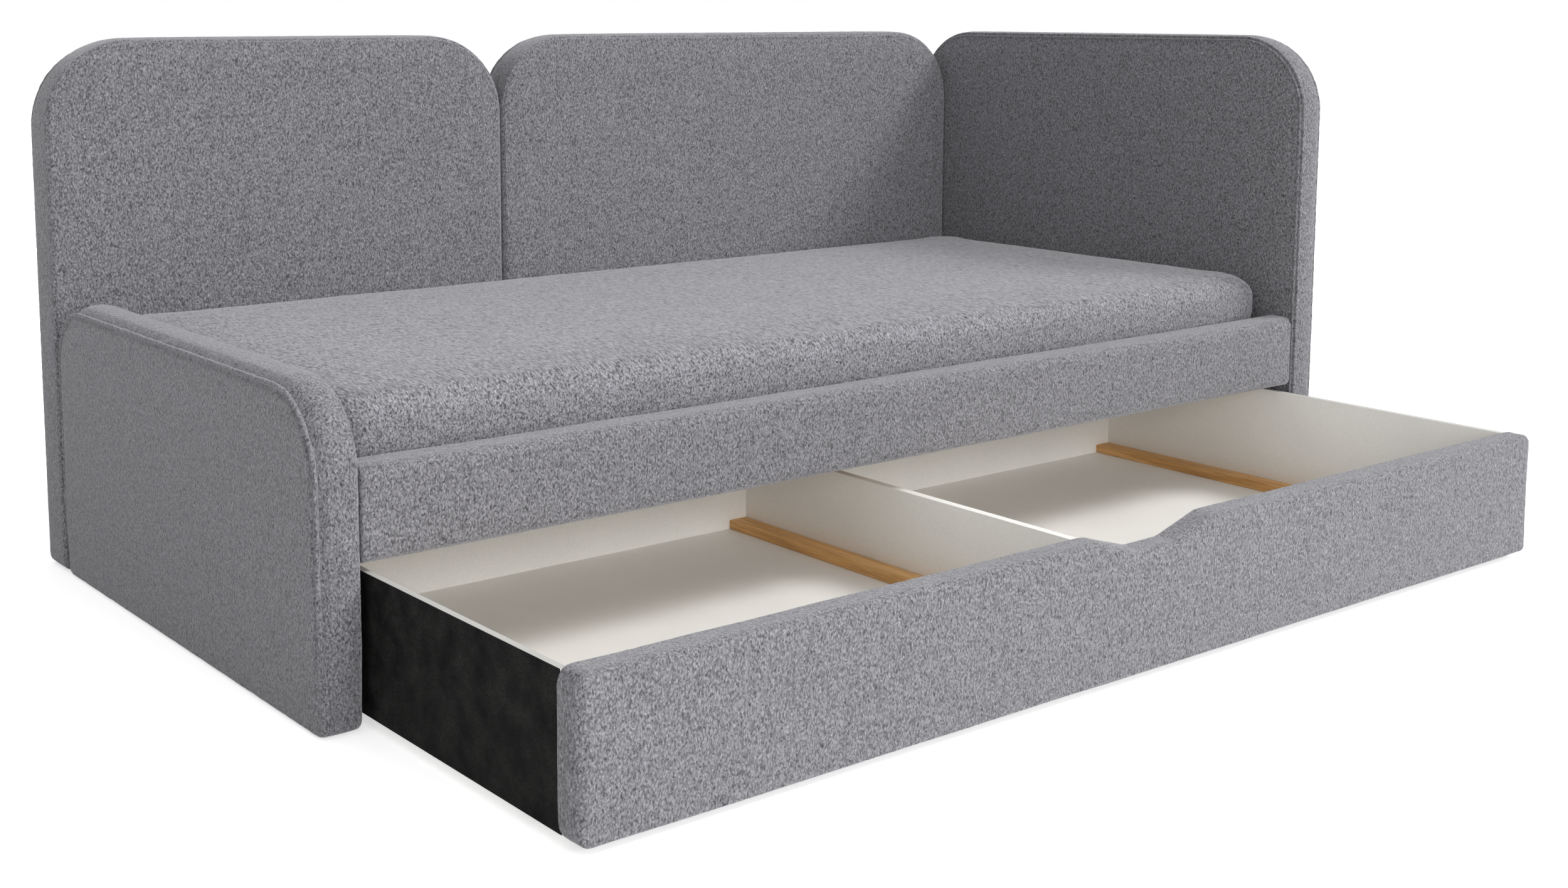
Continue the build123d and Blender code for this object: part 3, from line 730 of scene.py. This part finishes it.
def back_panel(name, form, seed):
    """A panel along the back of the bed."""
    low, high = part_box(f"{name}_cover")
    middle = (low.x + high.x) / 2

    def to_frame(points):
        return np.stack([middle + points[:, 0], high.y - points[:, 2], points[:, 1]], 1)

    size = (high.x - low.x, low.z - FOOT_SAG, high.z, TALL_CORNER, FOOT_CORNER)
    return upholstered_panel(name, "bed_frame", to_frame, size, high.y - low.y, form, seed)


# How each kind of panel is sewn: inset of its border, height of the outer lip, depth of the inner
# seam, roundness of the inner edge, swell of the border, share of it at the sides, crown and lumps
LOW_END = dict(
    border=2 * MM, lip=1.15, groove=1.5 * MM, soft_edge=11 * MM, dome=8 * MM,
    side_share=0.5, crown=3.4 * MM, lumps=1.1 * MM,
)
TALL_END = dict(
    border=2 * MM, lip=0.45, groove=2.3 * MM, soft_edge=11 * MM, dome=4 * MM,
    side_share=0.6, crown=2.6 * MM, lumps=0.5 * MM,
)
BACK = dict(
    border=1 * MM, lip=0.6, groove=0.7 * MM, soft_edge=12 * MM, dome=3 * MM,
    side_share=0.2, crown=3.0 * MM, lumps=0.4 * MM,
)
end_panel("left_end", -1, LOW_CORNER, LOW_END, 1)
end_panel("right_end", 1, TALL_CORNER, TALL_END, 2)
back_panel("back_left", BACK, 3)
back_panel("back_right", BACK, 4)


# Pieces drawn along the bed: the front rail and the drawer front

def rounded_section(front, back, bottom, top, front_round, back_round, foot_round, counts):
    """Closed section across the bed, in depth and height, from its foot up the front."""
    flat_front, flat_top, turn = counts
    points = []

    def arc(centre, radius, first):
        for angle in np.radians(np.linspace(first, first - 90, turn + 1)):
            way = (math.cos(angle), math.sin(angle))
            points.append((centre[0] + radius * way[0], centre[1] + radius * way[1]))

    def line(end, count):
        start = points[-1]
        for share in np.linspace(0, 1, count + 1)[1:-1]:
            points.append(tuple(a + share * (b - a) for a, b in zip(start, end)))

    arc((front + foot_round, bottom + foot_round), foot_round, 270)
    line((front, top - front_round), flat_front)
    arc((front + front_round, top - front_round), front_round, 180)
    line((back - back_round, top), flat_top)
    arc((back - back_round, top - back_round), back_round, 90)
    line((back, bottom + back_round), flat_front)
    arc((back - back_round, bottom + back_round), back_round, 0)
    line((front + foot_round, bottom), flat_top)
    return np.array(points)


# How far the rows at the ends of a drawn piece shrink towards the line that closes it
END_ROWS = (0.9, 0.6, 0.25)


def ended(sections, places):
    """Lead a run of sections on with rows that shrink towards a line at both ends."""

    def shrunk(section, share):
        middle = (section.min(0) + section.max(0)) / 2
        reach = (section.max(0) - section.min(0)) / 2
        axis = section.copy()
        axis[:, 0] = middle[0]
        limit = reach[1] - reach[0]
        axis[:, 1] = np.clip(section[:, 1], middle[1] - limit, middle[1] + limit)
        return section + share * (axis - section)

    rows = [shrunk(sections[0], share) for share in END_ROWS]
    rows += sections
    rows += [shrunk(sections[-1], share) for share in reversed(END_ROWS)]
    added = len(END_ROWS)
    return np.array(rows), np.pad(places, added, "edge")


def laid_out(rows, spots):
    """Points of a run of sections, with the share of the way along it and round it."""
    along = np.broadcast_to(spots[:, None, None], (*rows.shape[:2], 1))
    grid = np.concatenate([along, rows], 2)
    lengths = np.r_[0, np.cumsum(np.linalg.norm(np.diff(grid, axis=0), axis=2).max(1))]
    return grid, lengths / lengths[-1], along_outline(rows[len(rows) // 2])


# Points on the front, the top and each rounded edge of a section
SECTION_COUNTS, COARSE_COUNTS = (12, 8, 7), (4, 2, 2)
DRAWN_TUFT = 0.35 * MM
DRAWN_SWELL = 0.8 * MM


def drawn_piece(name, body, nodes, make_sections, held_rule, cap, seed):
    """A padded piece drawn along the bed from its sections, inflated a little as cloth."""
    grid, lengths, around = laid_out(*make_sections(DRAWN_STEP, SECTION_COUNTS))
    coarse_run = make_sections(DRAWN_COARSE, COARSE_COUNTS)
    coarse, coarse_lengths, coarse_around = laid_out(*coarse_run)
    flat = coarse.reshape(-1, 3)
    held = [k for k, point in enumerate(flat) if held_rule(point)]
    moved = inflate(flat, closed_faces(*coarse.shape[:2]), held, cap).reshape(coarse.shape)
    moved = spread_round(spread_rows(moved, coarse_lengths, lengths), coarse_around, around)
    grid = grid + settled(moved)
    flat = grid.reshape(-1, 3)
    rough = wobble(flat, TUFTS, seed).reshape(grid.shape[:2]) * DRAWN_TUFT
    slow = wobble(flat, DRAWN_SWELLS, seed + 5).reshape(grid.shape[:2]) * DRAWN_SWELL
    grid = grid + point_normals(grid) * (rough + slow)[:, :, None]
    faces = closed_faces(*grid.shape[:2])
    return fabric_piece(name, body, nodes, grid.reshape(-1, 3), faces)


def end_turn(places, low, high, turn):
    """How far a rounded end draws in at each place along a piece."""
    near = np.minimum(places - low, high - places)
    gap = np.clip(turn - near, 0, turn)
    return turn - np.sqrt(np.maximum(turn * turn - gap * gap, 0))


def run_places(low, high, step, turn):
    """Places along a piece, closer together at its rounded ends."""
    turns = turn * (1 - np.cos(np.linspace(0, math.pi / 2, 6)))
    middle = np.linspace(low + turn, high - turn, max(8, round((high - low) / step)))
    return np.concatenate([low + turns, middle[1:-1], (high - turns)[::-1]])


rail_low, rail_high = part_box("front_rail_cover")
RAIL_INSET = 2.0 * MM
RAIL_END_TURN = 5 * MM
# Roundness of a section at its front edge, its back edges and its foot
RAIL_ROUNDS = (0.017, 0.015, 0.013)
FRONT_ROUNDS = (0.012, 0.006, 0.004)


def rail_sections(step, counts):
    """Front rail: a padded sleeve with soft long edges, cut square at its ends."""
    places = run_places(rail_low.x, rail_high.x, step, RAIL_END_TURN)
    sections = []
    for drawn in end_turn(places, rail_low.x, rail_high.x, RAIL_END_TURN):
        inset = RAIL_INSET + drawn
        sections.append(
            rounded_section(
                rail_low.y + inset, rail_high.y - inset, rail_low.z + inset, rail_high.z - inset,
                *RAIL_ROUNDS, counts,
            )
        )
    return ended(sections, places)


def rail_held(point):
    """The rail is stapled along its bottom and back, and at its ends."""
    at_end = abs(point[0]) > rail_high.x - 0.02
    return at_end or point[1] > rail_high.y - 0.012 or point[2] < rail_low.z + 0.006


front_low, front_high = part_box("drawer_front_cover")
FRONT_INSET = 0.8 * MM
FRONT_END_TURN = 12 * MM
FRONT_CORNER = 18 * MM
# The scoop lies within this reach of the middle, where the sections stand closer together
SCOOP_REACH = 0.16


def front_top(places):
    """Top edge of the drawer front, with its finger scoop drawn in a soft line."""
    fine = np.linspace(-0.3, 0.3, 1201)
    slope = (SCOOP_WIDTH - SCOOP_FLAT) / 2
    dip = SCOOP_DEPTH * np.clip((SCOOP_WIDTH / 2 - np.abs(fine)) / slope, 0, 1)
    soften = np.hanning(65)
    dip = np.convolve(dip, soften / soften.sum(), "same")
    return front_high.z - FRONT_INSET - np.interp(places, fine, dip)


def front_sections(step, counts):
    """Padded drawer front, rounded at its front rim and its corners."""
    scoop_count = max(9, round(2 * SCOOP_REACH / min(step, 0.02)))
    scoop = np.linspace(-SCOOP_REACH, SCOOP_REACH, scoop_count)
    run = run_places(front_low.x, front_high.x, step, FRONT_CORNER)
    places = np.unique(np.concatenate([run, scoop]))
    side_drawn = end_turn(places, front_low.x, front_high.x, FRONT_END_TURN)
    corner_drawn = end_turn(places, front_low.x, front_high.x, FRONT_CORNER)
    sections = []
    for drawn, shortened, top in zip(side_drawn, corner_drawn, front_top(places)):
        sections.append(
            rounded_section(
                front_low.y + FRONT_INSET + drawn, front_high.y - FRONT_INSET / 2,
                front_low.z - FOOT_SAG + shortened, top - shortened,
                *FRONT_ROUNDS, counts,
            )
        )
    return ended(sections, places)


def front_held(point):
    """The drawer front is stapled on its back and under its bottom edge."""
    return point[1] > front_high.y - 0.010 or point[2] < front_low.z + 0.006


drawn_piece(
    "front_rail_upholstery", "bed_frame", ("front_rail_cover", "front_rail_padding"),
    rail_sections, rail_held, cap=1.8 * MM, seed=11,
)
drawn_piece(
    "drawer_front_upholstery", "drawer", ("drawer_front_cover", "drawer_front_padding"),
    front_sections, front_held, cap=1.2 * MM, seed=12,
)


# Mattress

# Row counts of the side, the rounded edge, the crown and the flat middle of the top
MATTRESS_ROWS, COARSE_ROWS = (7, 16, 24, 36), (3, 5, 4, 5)
# Seam at the foot of the side: inset and rise
FOOT_SEAM = (
    (0.006, 0.0012), (0.002, 0.004), (0.0, 0.007),
    (0.0015, 0.010), (0.0045, 0.012), (0.0015, 0.0145),
)
COARSE_SEAM = ((0.0, 0.012),)
SIDE_START = 0.018
SIDE_BULGE = 1.5 * MM
CROWN_WIDTH = 0.16
UNDERSIDE_INSET = 0.06
MATTRESS_CAP = 3.2 * MM
MATTRESS_TUFT = 0.3 * MM
MATTRESS_LUMP = 0.7 * MM
MATTRESS_SWELL = 1.3 * MM


def mattress_levels(bottom, top, row_counts, seam):
    """Rings of the mattress from the middle of its underside to the middle of its top, each with a
    share towards the middle, an inset and a height."""
    side_rows, edge_rows, crown_rows, top_rows = row_counts
    turn = MATTRESS_EDGE
    crown_start = top - MATTRESS_CROWN
    levels = [(share, UNDERSIDE_INSET, bottom) for share in (1.0, 0.8, 0.6, 0.4, 0.2)]
    levels += [(0.0, inset, bottom) for inset in (UNDERSIDE_INSET, 0.030, MATTRESS_DRAW + 0.010)]
    levels += [(0.0, MATTRESS_DRAW + inset, bottom + rise) for inset, rise in seam]
    side_low, side_high = bottom + SIDE_START, crown_start - turn
    for share in np.linspace(0, 1, side_rows):
        inset = MATTRESS_DRAW * (1 - share) ** 2 - SIDE_BULGE * math.sin(math.pi * share)
        levels.append((0.0, inset, side_low + share * (side_high - side_low)))
    for angle in np.radians(np.linspace(0, 86, edge_rows)[1:]):
        levels.append((0.0, turn * (1 - math.cos(angle)), side_high + turn * math.sin(angle)))
    for share in np.linspace(0, 1, crown_rows)[1:]:
        rise = MATTRESS_CROWN * (1 - (1 - share) ** 2)
        levels.append((0.0, turn + CROWN_WIDTH * share, crown_start + rise))
    levels += [(share, turn + CROWN_WIDTH, top) for share in np.linspace(0, 1, top_rows)[1:]]
    return levels


def rounded_plan(length, width, inset, counts):
    """Plan of the mattress drawn in by an inset, its corners kept as round as they were."""
    shorter, half = length - 2 * inset, (width - 2 * inset) / 2
    foot = MATTRESS_CORNER - 1e-4
    flat, _ = rounded_outline(shorter, -half, half, MATTRESS_CORNER, foot, 0.0, counts)
    return flat


def mattress_grid(step, row_counts, seam):
    """Points of the mattress, ring by ring, with the share round the rings and across them."""
    low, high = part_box("mattress_cover")
    centre = (low + high) / 2
    length, width = high.x - low.x - 4 * MM, high.y - low.y - 3 * MM
    counts = outline_counts(length, width, MATTRESS_CORNER, MATTRESS_CORNER - 1e-4, step)
    reach = (length - width) / 2
    grid, spots = [], []
    for share, inset, height in mattress_levels(low.z, high.z - 2 * MM, row_counts, seam):
        flat = rounded_plan(length, width, inset, counts)
        axis = np.stack([np.clip(flat[:, 0], -reach, reach), np.zeros(len(flat))], 1)
        flat = flat + share * (axis - flat)
        place = np.concatenate([flat, np.full((len(flat), 1), height)], 1)
        grid.append(place + np.array([centre.x, centre.y, 0.0]))
        spots.append((inset * (1 - share) - share * 0.4, height))
    around = along_outline(rounded_plan(length, width, 0.0, counts))
    steps = np.linalg.norm(np.diff(np.array(spots), axis=0), axis=1)
    return np.array(grid), around, np.r_[0, np.cumsum(steps)] / steps.sum()


def mattress_piece():
    """The mattress, inflated a little as cloth above its seam, with tufts and lumps on its top."""
    grid, around, lengths = mattress_grid(MATTRESS_STEP, MATTRESS_ROWS, FOOT_SEAM)
    coarse, coarse_around, coarse_lengths = mattress_grid(
        MATTRESS_COARSE, COARSE_ROWS, COARSE_SEAM
    )
    flat = coarse.reshape(-1, 3)
    held = np.flatnonzero(flat[:, 2] < flat[0, 2] + 0.02)
    moved = inflate(flat, ring_faces(*coarse.shape[:2]), held, MATTRESS_CAP)
    moved = spread_rows(moved.reshape(coarse.shape), coarse_lengths, lengths)
    grid = grid + settled(spread_round(moved, coarse_around, around))
    normal = point_normals(grid)
    flat = grid.reshape(-1, 3)
    lifted = (grid[:, :, 2] > grid[0, 0, 2] + 0.01).astype(float)
    level = np.clip((np.abs(normal[:, :, 2]) - 0.2) / 0.5, 0, 1)
    rough = wobble(flat, TUFTS, 21).reshape(grid.shape[:2]) * MATTRESS_TUFT
    slow = wobble(flat, MATTRESS_SWELLS, 26).reshape(grid.shape[:2]) * MATTRESS_SWELL
    lumps = wobble(flat, MATTRESS_LUMPS, 31).reshape(grid.shape[:2]) * MATTRESS_LUMP * level
    grid = grid + normal * ((rough + slow + lumps) * lifted)[:, :, None]
    nodes = ("mattress_cover", "mattress_core", "mattress_underside")
    faces = ring_faces(*grid.shape[:2])
    return fabric_piece(
        "mattress_upholstery", "mattress", nodes, grid.reshape(-1, 3), faces, boucle_mattress_painted_light
    )


mattress_piece()


# Drawer battens with eased edges

BATTEN_EASE = 1.6 * MM
BATTEN_CUTS = 36
BATTEN_WEAR = 0.5 * MM


def batten(node, seed):
    """A batten with eased edges and a top that is planed by hand."""
    low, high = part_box(node)
    edit = bmesh.new()
    bmesh.ops.create_cube(edit, size=1.0)
    span = high - low
    bmesh.ops.scale(edit, vec=span, verts=edit.verts)
    bmesh.ops.translate(edit, vec=(low + high) / 2, verts=edit.verts)
    long_edges = [e for e in edit.edges if abs((e.verts[0].co - e.verts[1].co).y) > span.y / 2]
    bmesh.ops.subdivide_edges(edit, edges=long_edges, cuts=BATTEN_CUTS, use_grid_fill=True)
    crest = [e for e in edit.edges if len(e.link_faces) == 2 and e.calc_face_angle() > 1.0]
    bmesh.ops.bevel(edit, geom=crest, offset=BATTEN_EASE, segments=3, profile=0.5, affect="EDGES")
    for vertex in edit.verts:
        drift = noise.noise(Vector((seed * 7.0, vertex.co.y * 3.0, 0.0))) * BATTEN_WEAR
        if vertex.co.z > high.z - span.z / 2:
            vertex.co.z -= abs(drift)
    bmesh.ops.recalc_face_normals(edit, faces=edit.faces)
    data = bpy.data.meshes.new(f"{node}_eased")
    edit.to_mesh(data)
    edit.free()
    data.polygons.foreach_set("use_smooth", [True] * len(data.polygons))
    data.materials.append(batten_wood)
    made = bpy.data.objects.new(f"{node}_eased", data)
    scene.collection.objects.link(made)
    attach(made, "drawer")
    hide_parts(node)
    return made


BATTENS = ("left_side_batten", "divider_left_batten", "divider_right_batten", "right_side_batten")
for number, node in enumerate(BATTENS, 1):
    batten(node, number)


# Finishes of the solids that stay, by a part of their names; the longest part that fits counts

FINISHES = {
    "board": chip_board,
    "front_ledger": pine_x,
    "rear_rail": pine_x,
    "base_slats": pine_y,
    "corner_brackets": zinc,
    "bolts": zinc,
    "screws": zinc,
    "axles": zinc,
    "floor_glides": black_plastic,
    "housings": black_plastic,
    "lining": facing,
    # The drawer's sides and back take the laminate with painted shade on its top edges.
    "drawer_left_side": laminate_with_top_shade,
    "drawer_right_side": laminate_with_top_shade,
    "drawer_back": laminate_with_top_shade,
    "drawer_divider": laminate,
    "floor": laminate,
    "wheel": nylon,
}
for name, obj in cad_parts.items():
    for key in sorted(FINISHES, key=len, reverse=True):
        if key in name:
            obj.data.materials.clear()
            obj.data.materials.append(FINISHES[key])
            break


# Floor, light and camera

def lit_mix(tree, shown, other):
    """Show one shader to the camera, reflections and glass, and another to bounced light."""
    path = add_node(tree, "ShaderNodeLightPath")
    seen = math_node(tree, "MAXIMUM", path.outputs["Is Camera Ray"], path.outputs["Is Glossy Ray"])
    seen = math_node(tree, "MAXIMUM", seen, path.outputs["Is Transmission Ray"])
    return add_node(tree, "ShaderNodeMixShader", {0: seen, 1: other, 2: shown}).outputs["Shader"]


def shaded(tree, kind, grey, **inputs):
    """A shader of one plain grey."""
    return add_node(tree, kind, {"Color": (grey, grey, grey, 1), **inputs}).outputs[0]


# Greys of the floor as it is seen and as it bounces light, its own glow, its size, and the sky
FLOOR_SHOWN = 0.9
FLOOR_BOUNCE = 0.80
FLOOR_GLOW = 0.55
FLOOR_SIZE = 80.0
SKY = 0.61

floor_material = bpy.data.materials.new("pale_floor")
floor_material.use_nodes = True
floor_tree = floor_material.node_tree
floor_tree.nodes.clear()
glow = shaded(floor_tree, "ShaderNodeEmission", 1, Strength=FLOOR_GLOW)
pale = shaded(floor_tree, "ShaderNodeBsdfDiffuse", FLOOR_SHOWN)
shown_floor = add_node(floor_tree, "ShaderNodeAddShader", {0: glow, 1: pale}).outputs[0]
dim = shaded(floor_tree, "ShaderNodeBsdfDiffuse", FLOOR_BOUNCE)
floor_output = add_node(floor_tree, "ShaderNodeOutputMaterial")
floor_tree.links.new(lit_mix(floor_tree, shown_floor, dim), floor_output.inputs["Surface"])

bpy.ops.mesh.primitive_plane_add(size=FLOOR_SIZE, location=(0, 0, 0))
floor = bpy.context.object
floor.name = "floor"
floor.data.materials.append(floor_material)

world = bpy.data.worlds.new("studio")
scene.world = world
world.use_nodes = True
sky_tree = world.node_tree
sky_tree.nodes.clear()
white_sky = shaded(sky_tree, "ShaderNodeBackground", 1, Strength=1.0)
soft_sky = shaded(sky_tree, "ShaderNodeBackground", 1, Strength=SKY)
sky_output = add_node(sky_tree, "ShaderNodeOutputWorld")
sky_tree.links.new(lit_mix(sky_tree, white_sky, soft_sky), sky_output.inputs["Surface"])

# Lamps: name, place, aim, width, height, spread in degrees and power in watts
LAMPS = (
    ("key", (10.8, -7.58, 12.92), (0.0, -0.1, 0.3), 6.0, 6.0, 180.0, 2550.0),
    ("fill", (-2.2, -8.6, 2.82), (0.0, -0.1, 0.3), 4.0, 4.0, 180.0, 270.0),
    ("low", (0.0, -3.3, 1.35), (0.0, -0.45, 0.08), 3.2, 0.5, 40.0, 2.6),
)
for name, place, aim, width, height, spread, power in LAMPS:
    lamp = bpy.data.lights.new(name, "AREA")
    lamp.shape = "RECTANGLE"
    lamp.size = width
    lamp.size_y = height
    lamp.spread = math.radians(spread)
    lamp.energy = power
    lit = bpy.data.objects.new(name, lamp)
    lit.location = place
    lit.rotation_mode = "QUATERNION"
    lit.rotation_quaternion = (Vector(aim) - Vector(place)).to_track_quat("-Z", "Y")
    scene.collection.objects.link(lit)

# Camera, fitted to the corners and edges of the object in the photograph
CAMERA_PLACE = Vector((-2.1355, -2.5063, 0.9572))
CAMERA_YAW = math.radians(37.986)
CAMERA_PITCH = math.radians(7.332)
CAMERA_ROLL = math.radians(0.067)
CAMERA_SHIFT = (0.0355, -0.12)
SENSOR_WIDTH = 36.0
FOCAL_LENGTH = 43.971
lens = bpy.data.cameras.new("camera")
lens.sensor_fit = "HORIZONTAL"
lens.sensor_width = SENSOR_WIDTH
lens.lens = FOCAL_LENGTH
lens.shift_x, lens.shift_y = CAMERA_SHIFT
camera = bpy.data.objects.new("camera", lens)
forward = Vector(
    (
        math.sin(CAMERA_YAW) * math.cos(CAMERA_PITCH),
        math.cos(CAMERA_YAW) * math.cos(CAMERA_PITCH),
        -math.sin(CAMERA_PITCH),
    )
)
right = Vector((math.cos(CAMERA_YAW), -math.sin(CAMERA_YAW), 0.0))
upward = right.cross(forward)
rolled_right = math.cos(CAMERA_ROLL) * right + math.sin(CAMERA_ROLL) * upward
rolled_up = -math.sin(CAMERA_ROLL) * right + math.cos(CAMERA_ROLL) * upward
turned = Matrix((rolled_right, rolled_up, -forward)).transposed().to_4x4()
camera.matrix_world = Matrix.Translation(CAMERA_PLACE) @ turned
scene.collection.objects.link(camera)
scene.camera = camera

scene.view_settings.view_transform = "Standard"
